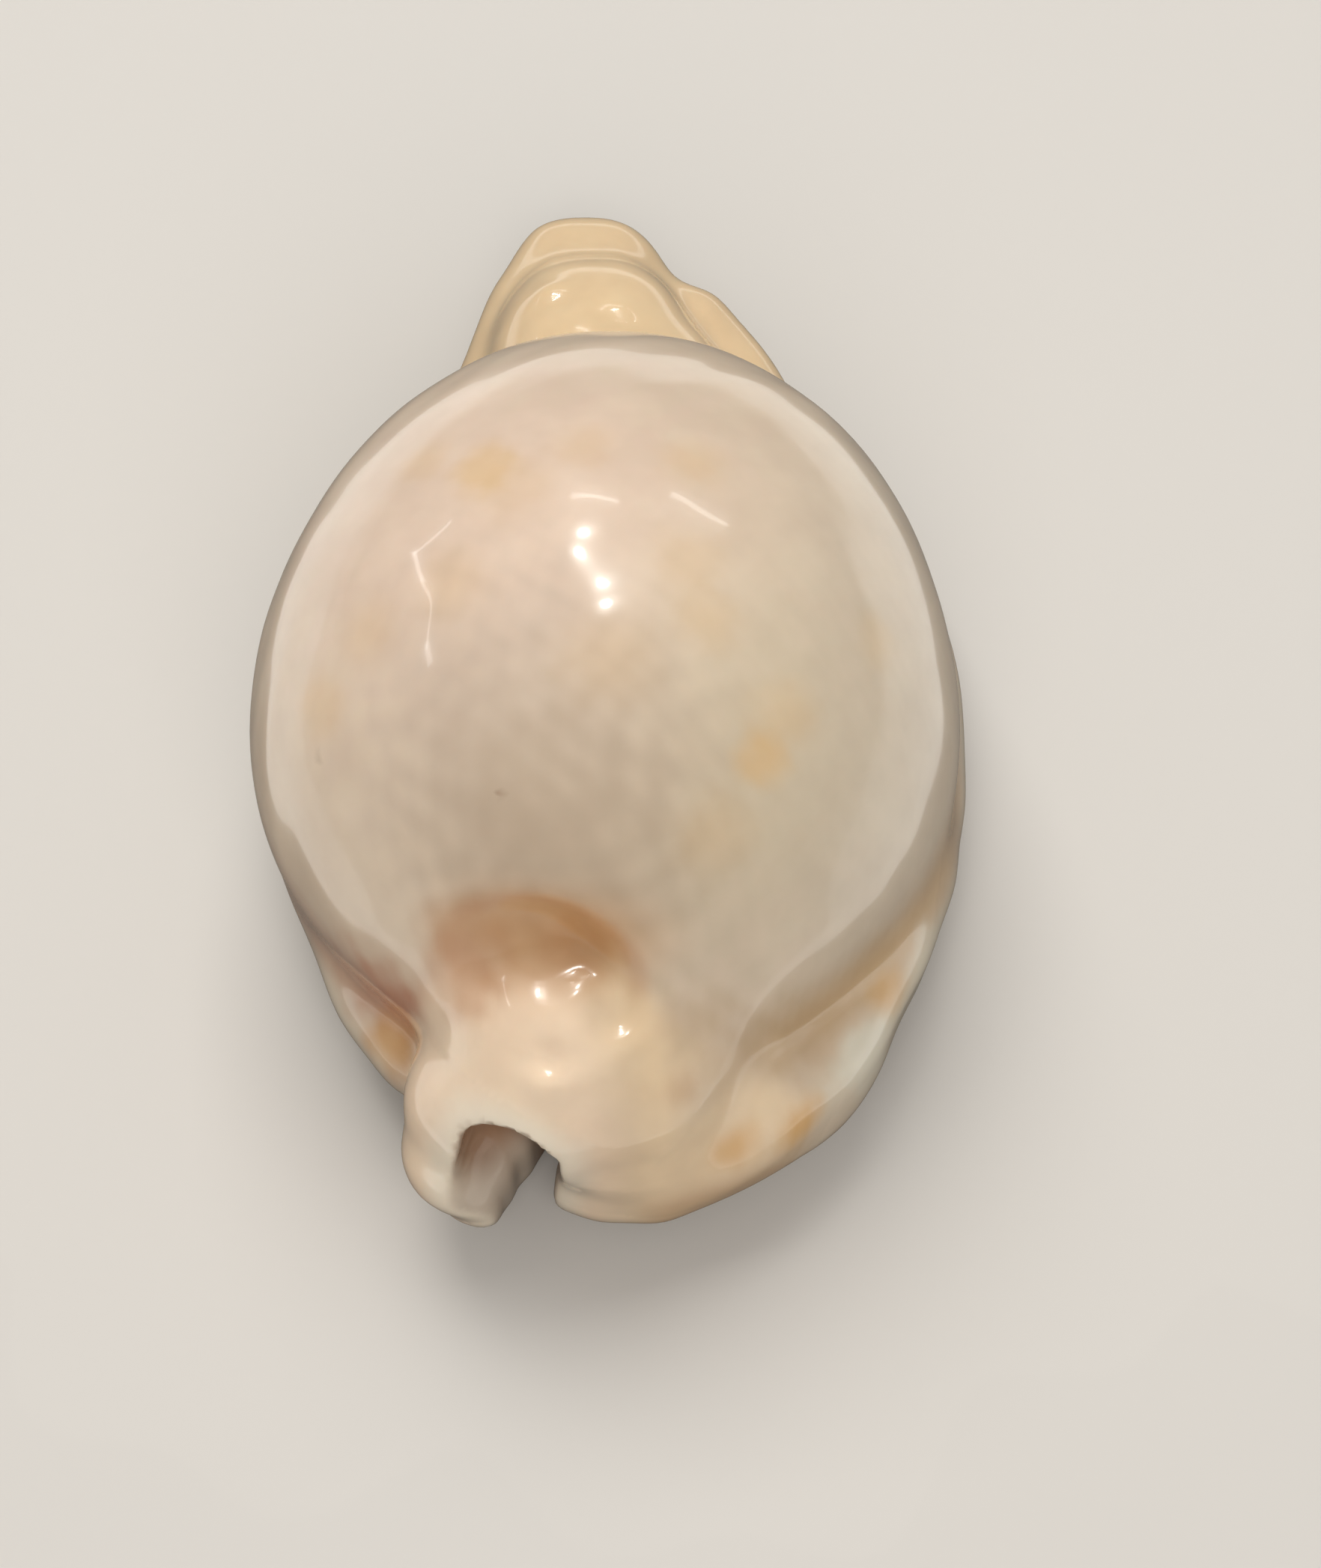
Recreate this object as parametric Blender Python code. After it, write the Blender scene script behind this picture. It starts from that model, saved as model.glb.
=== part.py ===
"""Umbilia capricornica cowrie: one adult shell, hollow, grown as a single piece.

Frame: +Y runs to the anterior beak, +Z up through the back of the dome, +X to the outer (labral) lip.
The shell lies on its base at z = 0. The design below is in millimetres and is scaled to metres
as each mesh is made.
"""

import bmesh
import bpy
import numpy as np

MM = 0.001
MIDDLE = (0.583, 1.142)                 # middle of the design's box in plan, moved on to the origin
TRIANGLES = 9200                      # facets kept in the shell
TOOTH_DEPTH_LABRAL, TOOTH_DEPTH_COLUMELLAR = 0.95, 0.75
# ---------------------------------------------------------------- driving dimensions, millimetres
WHORL_CENTRE = (-0.15, -8.0, 17.0)    # widest level of the body whorl
WHORL_HALF_WIDTH = 24.05
WHORL_BACK, WHORL_FRONT = 24.3, 28.6  # reach of the dome to the posterior and to the anterior
WHORL_UP, WHORL_DOWN = 23.0, 17.2
WHORL_LEAN = 0.45                     # the dome leans to the labral side towards the anterior
WALL = 2.3                            # least thickness of the wall over the chamber
FLOOR = 6.2                           # thickness of the base under the chamber
MARGIN_HEIGHT = 7.3                   # thick callus that runs round the base
MARGIN_ROUND = 3.6                    # rounding of its edge
TOOTH_PITCH_LABRAL, TOOTH_PITCH_COLUMELLAR = 2.25, 1.9

# Stations of the margin seen from above, anticlockwise, with its scalloped labral side.
MARGIN = [
    (24.5, 4.0), (23.1, 10.0), (20.8, 15.8), (18.0, 20.6), (14.7, 24.9), (13.2, 27.9), (11.8, 30.4),
    (10.1, 32.8), (8.5, 34.9), (5.9, 36.3), (4.3, 37.7), (2.9, 39.8), (1.0, 41.2), (-1.5, 41.5),
    (-4.1, 41.2), (-6.0, 40.0), (-7.2, 37.8), (-8.8, 35.4), (-10.0, 32.0), (-11.1, 28.6), (-12.8, 25.4),
    (-15.2, 21.8), (-18.0, 17.0), (-20.4, 11.0), (-21.7, 5.0), (-22.2, -1.0), (-22.0, -7.0),
    (-21.4, -12.0), (-20.7, -16.4), (-19.7, -20.9), (-18.2, -25.1), (-16.4, -27.7), (-14.4, -29.9),
    (-12.7, -31.2), (-11.6, -33.2), (-8.8, -35.4), (-4.7, -36.9), (-0.5, -38.0), (2.7, -37.8),
    (5.2, -37.4), (7.7, -36.7), (11.4, -34.6), (14.0, -32.3), (16.2, -30.4), (18.1, -28.3),
    (19.4, -26.1), (21.3, -22.8), (22.4, -19.5), (23.4, -16.0), (23.9, -12.7), (24.5, -9.8),
    (24.8, -6.8), (25.0, -2.0),
]
# Middle line of the aperture, and its width, against y: it bends to the columellar side at the posterior.
APERTURE_Y = [-44, -40, -35.6, -32, -28, -22, -14, -4, 8, 20, 30, 38, 46]
APERTURE_X = [-8.6, -6.6, -4.3, -2.7, -1.4, -0.1, 0.8, 1.1, 0.9, 0.3, -0.4, -1.1, -1.7]
WIDTH_Y = [-44, -36, -30, -24, -14, 0, 14, 24, 32, 40, 46]
WIDTH = [4.2, 3.7, 3.0, 2.5, 2.3, 2.3, 2.5, 2.9, 3.2, 3.4, 3.4]
# Exhalant canal at the posterior: the round gutter, and the slot under it that joins it to the aperture.
GUTTER = [(-1.6, -27.5, 4.6, 1.4), (-3.1, -31.0, 9.2, 1.7), (-4.8, -34.0, 12.9, 2.1), (-6.2, -36.6, 15.3, 2.45), (-7.4, -41.5, 16.8, 2.8)]
MOUTH = [(-5.6, -35.6, 13.4, 2.0), (-6.7, -38.0, 12.2, 2.7), (-7.8, -41.8, 10.2, 3.4)]
SLOT = [(-1.5, -28.0, 1.1), (-2.7, -32.0, 1.0), (-3.8, -34.6, 0.85), (-4.85, -36.6, 1.1), (-5.5, -38.5, 1.35), (-6.3, -42.0, 1.8)]

# Level places on the callus of the spout: where, how much each takes off the slope there, and how far it reaches.
LEVEL = [(-1.75, -30.1, 24.63, 0.09, -0.08, 1.7), (-4.67, -31.13, 24.53, -0.18, -0.11, 1.7), (0.76, -33.21, 23.28, 0.33, -0.39, 1.7),
         (-3.72, -35.6, 22.57, -0.1, -0.74, 1.7), (-3.96, 28.7, 15.19, -0.25, 0.35, 1.5), (0.88, 26.78, 15.85, 0.15, 0.25, 1.3)]


# ---------------------------------------------------------------- mathematics of the forms
class Curve:
    """Smooth cubic curve through knots; closed on itself when it has a period."""

    def __init__(self, t, v, period=None):
        t, v, self.period = np.asarray(t, float), np.asarray(v, float), period
        if period:
            t = np.concatenate([t[-3:] - period, t, t[:3] + period])
            v = np.concatenate([v[-3:], v, v[:3]])
        n, h = len(t), np.diff(t)
        a, b = np.zeros((n, n)), np.zeros(n)
        a[0, 0] = a[-1, -1] = 1
        for i in range(1, n - 1):
            a[i, i - 1], a[i, i], a[i, i + 1] = h[i - 1], 2 * (h[i - 1] + h[i]), h[i]
            b[i] = 6 * ((v[i + 1] - v[i]) / h[i] - (v[i] - v[i - 1]) / h[i - 1])
        self.m, self.t, self.v, self.h = np.linalg.solve(a, b), t, v, h

    def __call__(self, x):
        x = np.asarray(x, float)
        x = np.mod(x, self.period) if self.period else np.clip(x, self.t[0], self.t[-1])
        i = np.clip(np.searchsorted(self.t, x, side="right") - 1, 0, len(self.h) - 1)
        h = self.h[i]
        a = (self.t[i + 1] - x) / h
        b = 1 - a
        return (a * self.v[i] + b * self.v[i + 1]
                + ((a**3 - a) * self.m[i] + (b**3 - b) * self.m[i + 1]) * h * h / 6)

    def slope(self, x, e=1e-2):
        return (self(x + e) - self(x - e)) / (2 * e)


def mix(a, b, t):
    return a + (b - a) * t


def ease(a, b, x):
    t = np.clip((x - a) / (b - a), 0, 1)
    return t * t * t * (t * (6 * t - 15) + 10)


def join(a, b, k):
    """Two forms grown together, with a fillet about k wide between them."""
    h = np.maximum(k - np.abs(a - b), 0) / k
    return np.minimum(a, b) - h * h * h * k / 6


def within(a, b, k):
    """Only what two forms have in common, with a rounded edge about k wide."""
    return -join(-a, -b, k)


def carve(a, b, k):
    """The first form with the second one hollowed out of it, with a soft rim about k wide."""
    return -join(-a, b, k)


def tube(x, y, z, stations):
    """Distance to a swelling tube through (x, y, z, radius) stations."""
    d = None
    for p, q in zip(stations[:-1], stations[1:]):
        ax = np.array(q[:3], float) - np.array(p[:3], float)
        t = ((x - p[0]) * ax[0] + (y - p[1]) * ax[1] + (z - p[2]) * ax[2]) / (ax @ ax)
        t = np.clip(t, 0, 1)
        one = np.sqrt((x - p[0] - t * ax[0]) ** 2 + (y - p[1] - t * ax[1]) ** 2
                      + (z - p[2] - t * ax[2]) ** 2) - mix(p[3], q[3], t)
        d = one if d is None else join(d, one, 1.2)
    return d


def swelling(x, y, z, centre, half, power=2.0):
    """Distance to an ellipsoid, or to a squarer one when the power is over 2."""
    u = [np.abs(v - c) / s + 1e-9 for v, c, s in zip((x, y, z), centre, half)]
    f = sum(v**power for v in u) ** (1 / power)
    g = np.sqrt(sum((v ** (power - 1) / s) ** 2 for v, s in zip(u, half))) / np.maximum(f, 1e-3) ** (power - 1)
    return (f - 1) / np.maximum(g, 0.6 / max(half))


aperture_x = Curve(APERTURE_Y, APERTURE_X)
aperture_width = Curve(WIDTH_Y, WIDTH)
_angle = np.mod([np.arctan2(p[1], p[0]) for p in MARGIN], 2 * np.pi)
_order = np.argsort(_angle)
margin_radius = Curve(_angle[_order], np.hypot(*np.array(MARGIN).T)[_order], 2 * np.pi)


def whorl(x, y, z, inset=0.0):
    """The inflated body whorl: an egg with its own reach to each side of its widest level."""
    dy = y - WHORL_CENTRE[1]
    t = 0.5 * (1 + np.tanh(dy / 12))
    v = dy * ((1 - t) / (WHORL_BACK - inset) + t / (WHORL_FRONT - inset))
    half = WHORL_HALF_WIDTH * (1 + 0.012 * ease(2, 22, dy) - 0.03 * ease(2, 26, -dy)) - inset
    dz = z - WHORL_CENTRE[2]
    t = 0.5 * (1 + np.tanh(dz / 8))
    w = dz * ((1 - t) / (WHORL_DOWN - inset) + t / (WHORL_UP - inset))
    # the flanks come down steeply on to the margin, less so at the posterior
    w = w * mix(1, np.minimum(np.abs(w), 1.0) ** 0.5 + 0.0, ease(0.0, 0.7, -w) * 0.8 * ease(-24, -8, y))
    u = (x - WHORL_CENTRE[0] - WHORL_LEAN * ease(0, 22, dy)) / half
    f = np.sqrt(u * u + v * v + w * w)
    g = np.sqrt((u / half) ** 2 + (v * v / np.maximum(dy * dy, 1e-6)) * v * v
                + (w / np.where(dz > 0, WHORL_UP, WHORL_DOWN)) ** 2) / np.maximum(f, 1e-3)
    return (f - 1) / np.maximum(g, 1 / 34)


def roof(y):
    """Height of the aperture inside: into the chamber, then lower in the canal under the beak."""
    return mix(FLOOR + 0.7, 4.6, ease(18, 33, y))


def belly(x, y):
    """The rounding of the underside across the shell and along it."""
    return -0.35 + 0.0064 * (x - 0.5) ** 2 + 0.0011 * (y + 2) ** 2


def under(x, y):
    """Height of the underside: rounded, lowest on both sides of the aperture, its lips rolled in."""
    lip = (x - aperture_x(y)) / 2.1
    return belly(x, y) + 1.1 * np.exp(-lip * lip)


def margin(x, y, z):
    """The thick callus round the base: a plate with a rounded edge."""
    angle, r = np.mod(np.arctan2(y, x), 2 * np.pi), np.hypot(x, y)
    edge = (r - margin_radius(angle)) / np.sqrt(1 + (margin_radius.slope(angle) / margin_radius(angle)) ** 2)
    back = ease(-14, -26, y)
    h = MARGIN_HEIGHT / 2 + 1.1 * ease(-8, -20, y) * ease(4, 13, x)
    a = edge + MARGIN_ROUND
    b = np.abs(z - np.minimum(belly(x, y), 3.0) - 0.65 * back - h) - (h - MARGIN_ROUND)
    return np.hypot(np.maximum(a, 0), np.maximum(b, 0)) + np.minimum(np.maximum(a, b), 0) - MARGIN_ROUND


def outside(x, y, z):
    """The whole outer form: below 0 inside the shell material or its hollow."""
    d = whorl(x, y, z)
    # the sunken spire at the posterior
    d = carve(d, swelling(x, y, z, (-4.6, -32.4, 25.6), (5.8, 5.8, 7.4)), 5.0)
    d = join(d, swelling(x, y, z, (-5.4, -26.0, 23.6), (3.6, 2.2, 3.6)), 2.6)
    d = join(d, margin(x, y, z), 9.5 - mix(2.8, 1.0, ease(-4, 6, x)) * ease(-14, -26, y))
    # the beak over the anterior canal, and its tip
    tip = swelling(x, y, z, (-1.6, 33.5, 5.0), (6.4, 8.2, 5.4), 2.2)
    d = join(d, tip, 2.5)
    hump = join(swelling(x, y, z, (-1.0, 21.2, 7.0), (8.3, 14.4, 9.3), 2.5), swelling(x, y, z, (3.5, 17.6, 6.6), (6.4, 12.0, 8.8), 2.6), 3.0)
    d = join(d, hump, mix(9.0, 4.0, ease(17, 27, y)))
    # the posterior spout: a bridge from the spire, its left and right lobes, and the run into the right margin
    bridge = tube(x, y, z, [(-3.2, -25.0, 15.0, 6.6), (-3.2, -30.6, 17.6, 6.9), (-4.4, -33.2, 15.4, 6.0), (-5.3, -34.4, 14.1, 5.0)])
    left = tube(x, y, z, [(-5.4, -28.5, 13.8, 4.4), (-8.4, -33.2, 12.0, 4.7), (-9.2, -35.2, 8.4, 4.3), (-8.2, -35.5, 4.9, 3.8)])
    right = tube(x, y, z, [(0.4, -26.5, 14.6, 6.4), (1.1, -32.2, 14.8, 5.4), (0.9, -33.7, 10.0, 5.0), (0.5, -34.3, 5.4, 4.4)])
    run = tube(x, y, z, [(2.8, -30.4, 12.2, 5.7), (6.8, -30.8, 9.0, 5.0), (11.8, -28.8, 5.8, 4.2)])
    spout = join(bridge, join(left, join(right, run, 6.0), 4.0), 6.0)
    d = join(d, spout, mix(4.0, 8.5, ease(0, 5, x)))
    for px, py, pz, tx, ty, reach in LEVEL:
        near = np.exp(-((x - px) ** 2 + (y - py) ** 2 + (z - pz) ** 2) / reach**2)
        d = d - (tx * (x - px) + ty * (y - py)) * near
    return within(d, under(x, y) - z, 2.5)


def chamber(x, y, z, around=None):
    """The hollow of the body whorl, over a thick floor and clear of the spire and spout."""
    d = whorl(x, y, z, WALL)
    floor = FLOOR + 0.02 * np.maximum(0, x - aperture_x(y)) ** 1.5
    d = within(d, floor - z, 4.0)
    return within(d, (outside(x, y, z) if around is None else around) + WALL, 1.5)
# ---------------------------------------------------------------- modelling
def collection(name):
    new = bpy.data.collections.new(name)
    bpy.context.scene.collection.children.link(new)
    return new


def finished(name, bm, home):
    """A mesh object from millimetre points of the design."""
    for v in bm.verts:
        v.co = ((v.co.x - MIDDLE[0]) * MM, (v.co.y - MIDDLE[1]) * MM, v.co.z * MM)
    bmesh.ops.recalc_face_normals(bm, faces=bm.faces)
    mesh = bpy.data.meshes.new(name)
    bm.to_mesh(mesh)
    bm.free()
    obj = bpy.data.objects.new(name, mesh)
    home.objects.link(obj)
    return obj


def drawn_onto(name, form, centre, detail, home):
    """A sphere primitive whose points are drawn in along their own rays onto a form."""
    bm = bmesh.new()
    bmesh.ops.create_icosphere(bm, subdivisions=detail, radius=1.0)
    rays = np.array([v.co[:] for v in bm.verts])
    rays /= np.linalg.norm(rays, axis=1)[:, None]
    near, far = np.zeros(len(rays)), np.full(len(rays), 60.0)
    # step inwards to the outermost crossing, then halve the step on to it
    t = far.copy()
    seeking = np.ones(len(rays), bool)
    while seeking.any():
        step = t[seeking] - 0.4
        p = centre + rays[seeking] * step[:, None]
        inside = form(p[:, 0], p[:, 1], p[:, 2]) < 0
        t[seeking] = step
        index = np.flatnonzero(seeking)
        near[index[inside]], far[index[inside]] = step[inside], step[inside] + 0.4
        seeking[index[inside | (step < 1)]] = False
    for _ in range(16):
        middle = (near + far) / 2
        p = centre + rays * middle[:, None]
        inside = form(p[:, 0], p[:, 1], p[:, 2]) < 0
        near, far = np.where(inside, middle, near), np.where(inside, far, middle)
    for v, p in zip(bm.verts, np.array(centre) + rays * near[:, None]):
        v.co = p
    return finished(name, bm, home)


def from_curve(name, curve, home, place):
    """A curve made into a closed mesh with its points placed by a rule, so that it can cut."""
    obj = bpy.data.objects.new(name, curve)
    home.objects.link(obj)
    bpy.context.view_layer.update()
    mesh = bpy.data.meshes.new_from_object(obj.evaluated_get(bpy.context.evaluated_depsgraph_get()))
    bm = bmesh.new()
    bm.from_mesh(mesh)
    bmesh.ops.remove_doubles(bm, verts=bm.verts, dist=1e-4)
    bmesh.ops.triangulate(bm, faces=bm.faces)
    for v in bm.verts:
        v.co.z = place(v.co)
    bpy.data.objects.remove(obj)
    bpy.data.meshes.remove(mesh)
    return finished(name, bm, home)


def slab(name, outline, low, home):
    """A flat closed outline pulled up from one height to the roof of the aperture."""
    curve = bpy.data.curves.new(name, "CURVE")
    curve.dimensions, curve.fill_mode, curve.extrude = "2D", "BOTH", 1.0
    spline = curve.splines.new("POLY")
    spline.points.add(len(outline) - 1)
    spline.use_cyclic_u = True
    for point, (x, y) in zip(spline.points, outline):
        point.co = (x, y, 0, 1)
    return from_curve(name, curve, home, lambda p: float(roof(p.y)) if p.z > 0 else low)


def arched_channel(name, gutter, slot, low, home):
    """A round gutter open below: one arch-shaped section carried along both lines."""
    t = np.linspace(0, len(gutter) - 1, 13)
    gx, gy, gz, gr = [Curve(np.arange(len(gutter)), [g[i] for g in gutter])(t) for i in range(4)]
    order = np.argsort([s[1] for s in slot])
    sy, sx, sw = [np.array([s[i] for s in slot])[order] for i in (1, 0, 2)]
    foot_x, foot_w = np.interp(gy, sy, sx), np.interp(gy, sy, sw)
    sweep = np.linspace(-0.75, 0.75, 9) * np.pi / 1.5 * 1.25
    bm = bmesh.new()
    rings = []
    for x, y, z, r, fx, fw in zip(gx, gy, gz, gr, foot_x, foot_w):
        section = [(fx - fw, low), (fx - fw, z - 0.95 * r)]
        section += [(x + r * np.sin(a), z + r * np.cos(a)) for a in sweep]
        section += [(fx + fw, z - 0.95 * r), (fx + fw, low)]
        rings.append([bm.verts.new((px, y, pz)) for px, pz in section])
    for one, two in zip(rings[:-1], rings[1:]):
        for i in range(len(one)):
            j = (i + 1) % len(one)
            bm.faces.new((one[i], one[j], two[j], two[i]))
    # each end is closed by a ladder of faces from one side of the arch to the other
    for ring in (rings[0], rings[-1]):
        for i in range(len(ring) // 2):
            rung = dict.fromkeys((ring[i], ring[i + 1], ring[-2 - i], ring[-1 - i]))
            bm.faces.new(list(rung))
    bmesh.ops.triangulate(bm, faces=bm.faces)
    return finished(name, bm, home)


def flared_mouth(name, path, home):
    """A round tube that widens along its line, with a flat disc at each end."""
    t = np.linspace(0, len(path) - 1, 7)
    px, py, pz, pr = [np.interp(t, np.arange(len(path)), [p[i] for p in path]) for i in range(4)]
    sweep = np.linspace(0, 2 * np.pi, 16, endpoint=False)
    bm = bmesh.new()
    rings = [[bm.verts.new((x + r * np.sin(a), y, z + r * np.cos(a))) for a in sweep] for x, y, z, r in zip(px, py, pz, pr)]
    for one, two in zip(rings[:-1], rings[1:]):
        for i in range(len(one)):
            j = (i + 1) % len(one)
            bm.faces.new((one[i], one[j], two[j], two[i]))
    for ring in (rings[0], rings[-1]):
        bm.faces.new(ring)
    bmesh.ops.triangulate(bm, faces=bm.faces)
    return finished(name, bm, home)


def toothed_edge(side, pitch, depth, first, last, start, stop):
    """Points along one lip of the aperture, notched between its teeth from first to last."""
    points = [start]
    y = start
    while y < stop:
        if first < y < last:
            points += [y, y + 0.25 * pitch, y + 0.5 * pitch, y + 0.75 * pitch]
            y += pitch
        else:
            y += 2.5
            points.append(min(y, stop))
    ys = np.unique(np.clip(points, start, stop))
    notch = depth * (ease(first, first + 6, ys) * (1 - ease(last - 4, last, ys)))
    notch = notch * (0.5 - 0.5 * np.cos(2 * np.pi * (ys - ys[0]) / pitch)) * ((ys > first) & (ys < last))
    return aperture_x(ys) + side * (aperture_width(ys) / 2 + notch), ys


# ---------------------------------------------------------------- the shell
for old in list(bpy.data.objects):
    bpy.data.objects.remove(old)

parts = collection("umbilia_capricornica_cowrie")
cutters = collection("hollows")

shell = drawn_onto("shell", outside, np.array((-0.5, -4.0, 5.0)), 6, parts)

hollows = [drawn_onto("chamber_hollow", chamber, np.array((0.0, -6.0, 18.0)), 4, cutters)]

labral_x, labral_y = toothed_edge(1, TOOTH_PITCH_LABRAL, TOOTH_DEPTH_LABRAL, -27.0, 36.0, -29.5, 46.0)
columellar_x, columellar_y = toothed_edge(-1, TOOTH_PITCH_COLUMELLAR, TOOTH_DEPTH_COLUMELLAR, -8.0, 36.0, -29.5, 46.0)
outline = list(zip(labral_x, labral_y)) + list(zip(columellar_x, columellar_y))[::-1]
hollows.append(slab("aperture_hollow", outline, -3.0, cutters))
hollows.append(arched_channel("exhalant_canal_hollow", GUTTER, SLOT, -3.4, cutters))
hollows.append(flared_mouth("exhalant_mouth_hollow", MOUTH, cutters))

# the flats that the base rests on
bm = bmesh.new()
bmesh.ops.create_cube(bm, size=1.0)
bmesh.ops.scale(bm, vec=(120, 120, 20), verts=bm.verts)
bmesh.ops.translate(bm, vec=(3, 2, -10), verts=bm.verts)
flats = finished("rest_flats", bm, cutters)


def cut(target, cutter):
    modifier = target.modifiers.new("less_" + cutter.name, "BOOLEAN")
    modifier.operation, modifier.object, modifier.solver = "DIFFERENCE", cutter, "EXACT"
    cutter.hide_render, cutter.display_type = True, "WIRE"


for hollow in hollows + [flats]:
    cut(shell, hollow)
bpy.context.view_layer.update()
full = shell.evaluated_get(bpy.context.evaluated_depsgraph_get()).to_mesh()
full.calc_loop_triangles()
coarser = shell.modifiers.new("fewer_facets", "DECIMATE")
coarser.ratio = min(1.0, TRIANGLES / len(full.loop_triangles))

porcelain = bpy.data.materials.new("porcelain_enamel")
porcelain.use_nodes = True
shader = porcelain.node_tree.nodes["Principled BSDF"]
shader.inputs["Base Color"].default_value = (0.76, 0.62, 0.50, 1)
shader.inputs["Roughness"].default_value = 0.12
shader.inputs["Metallic"].default_value = 0.0
shell.data.materials.append(porcelain)
shell.data.shade_smooth()
shell.data.set_sharp_from_angle(angle=0.7)
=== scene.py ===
"""Looks of the Umbilia capricornica cowrie: one glossy shell, lying on its base on a pale floor.

Frame: +Y runs to the anterior beak, +Z up, +X to the labral side, base at z = 0, metres. The form is
designed in millimetres and moved by MIDDLE, so that the box is centred on the origin in plan.
"""

import math

import bpy
import numpy as np
from mathutils import Matrix, Vector


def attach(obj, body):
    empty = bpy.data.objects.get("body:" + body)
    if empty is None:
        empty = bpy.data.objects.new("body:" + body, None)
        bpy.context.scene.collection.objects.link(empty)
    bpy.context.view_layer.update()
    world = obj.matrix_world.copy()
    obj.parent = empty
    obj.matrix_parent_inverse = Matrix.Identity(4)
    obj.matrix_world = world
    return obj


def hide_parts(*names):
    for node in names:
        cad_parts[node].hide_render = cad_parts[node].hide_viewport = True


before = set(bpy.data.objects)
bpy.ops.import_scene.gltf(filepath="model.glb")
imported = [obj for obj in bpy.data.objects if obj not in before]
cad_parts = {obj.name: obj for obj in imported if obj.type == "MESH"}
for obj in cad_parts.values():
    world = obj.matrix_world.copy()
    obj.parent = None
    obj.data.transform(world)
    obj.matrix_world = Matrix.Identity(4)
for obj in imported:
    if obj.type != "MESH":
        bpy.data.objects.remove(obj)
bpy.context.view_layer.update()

MM = 0.001
MIDDLE = (0.583, 1.142)                 # middle of the design's box in plan
# ---------------------------------------------------------------- driving dimensions, millimetres
WHORL_CENTRE = (-0.15, -8.0, 17.0)    # widest level of the body whorl
WHORL_HALF_WIDTH = 24.05
WHORL_BACK, WHORL_FRONT = 24.3, 28.6  # reach of the dome to the posterior and to the anterior
WHORL_UP, WHORL_DOWN = 23.0, 17.2
WHORL_LEAN = 0.45                     # the dome leans to the labral side towards the anterior
WALL = 2.3                            # least thickness of the wall over the chamber
FLOOR = 6.2                           # thickness of the base under the chamber
MARGIN_HEIGHT = 7.3                   # thick callus that runs round the base
MARGIN_ROUND = 3.6                    # rounding of its edge
TOOTH_PITCH_LABRAL, TOOTH_PITCH_COLUMELLAR = 2.25, 1.9

# Stations of the margin seen from above, anticlockwise, with its scalloped labral side.
MARGIN = [
    (24.5, 4.0), (23.1, 10.0), (20.8, 15.8), (18.0, 20.6), (14.7, 24.9), (13.2, 27.9), (11.8, 30.4),
    (10.1, 32.8), (8.5, 34.9), (5.9, 36.3), (4.3, 37.7), (2.9, 39.8), (1.0, 41.2), (-1.5, 41.5),
    (-4.1, 41.2), (-6.0, 40.0), (-7.2, 37.8), (-8.8, 35.4), (-10.0, 32.0), (-11.1, 28.6), (-12.8, 25.4),
    (-15.2, 21.8), (-18.0, 17.0), (-20.4, 11.0), (-21.7, 5.0), (-22.2, -1.0), (-22.0, -7.0),
    (-21.4, -12.0), (-20.7, -16.4), (-19.7, -20.9), (-18.2, -25.1), (-16.4, -27.7), (-14.4, -29.9),
    (-12.7, -31.2), (-11.6, -33.2), (-8.8, -35.4), (-4.7, -36.9), (-0.5, -38.0), (2.7, -37.8),
    (5.2, -37.4), (7.7, -36.7), (11.4, -34.6), (14.0, -32.3), (16.2, -30.4), (18.1, -28.3),
    (19.4, -26.1), (21.3, -22.8), (22.4, -19.5), (23.4, -16.0), (23.9, -12.7), (24.5, -9.8),
    (24.8, -6.8), (25.0, -2.0),
]
# Middle line of the aperture, and its width, against y: it bends to the columellar side at the posterior.
APERTURE_Y = [-44, -40, -35.6, -32, -28, -22, -14, -4, 8, 20, 30, 38, 46]
APERTURE_X = [-8.6, -6.6, -4.3, -2.7, -1.4, -0.1, 0.8, 1.1, 0.9, 0.3, -0.4, -1.1, -1.7]
WIDTH_Y = [-44, -36, -30, -24, -14, 0, 14, 24, 32, 40, 46]
WIDTH = [4.2, 3.7, 3.0, 2.5, 2.3, 2.3, 2.5, 2.9, 3.2, 3.4, 3.4]
# Exhalant canal at the posterior: the round gutter, and the slot under it that joins it to the aperture.
GUTTER = [(-1.6, -27.5, 4.6, 1.4), (-3.1, -31.0, 9.2, 1.7), (-4.8, -34.0, 12.9, 2.1), (-6.2, -36.6, 15.3, 2.45), (-7.4, -41.5, 16.8, 2.8)]
MOUTH = [(-5.6, -35.6, 13.4, 2.0), (-6.7, -38.0, 12.2, 2.7), (-7.8, -41.8, 10.2, 3.4)]
SLOT = [(-1.5, -28.0, 1.1), (-2.7, -32.0, 1.0), (-3.8, -34.6, 0.85), (-4.85, -36.6, 1.1), (-5.5, -38.5, 1.35), (-6.3, -42.0, 1.8)]

# Level places on the callus of the spout: where, how much each takes off the slope there, and how far it reaches.
LEVEL = [(-1.75, -30.1, 24.63, 0.09, -0.08, 1.7), (-4.67, -31.13, 24.53, -0.18, -0.11, 1.7), (0.76, -33.21, 23.28, 0.33, -0.39, 1.7),
         (-3.72, -35.6, 22.57, -0.1, -0.74, 1.7), (-3.96, 28.7, 15.19, -0.25, 0.35, 1.5), (0.88, 26.78, 15.85, 0.15, 0.25, 1.3)]


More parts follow.
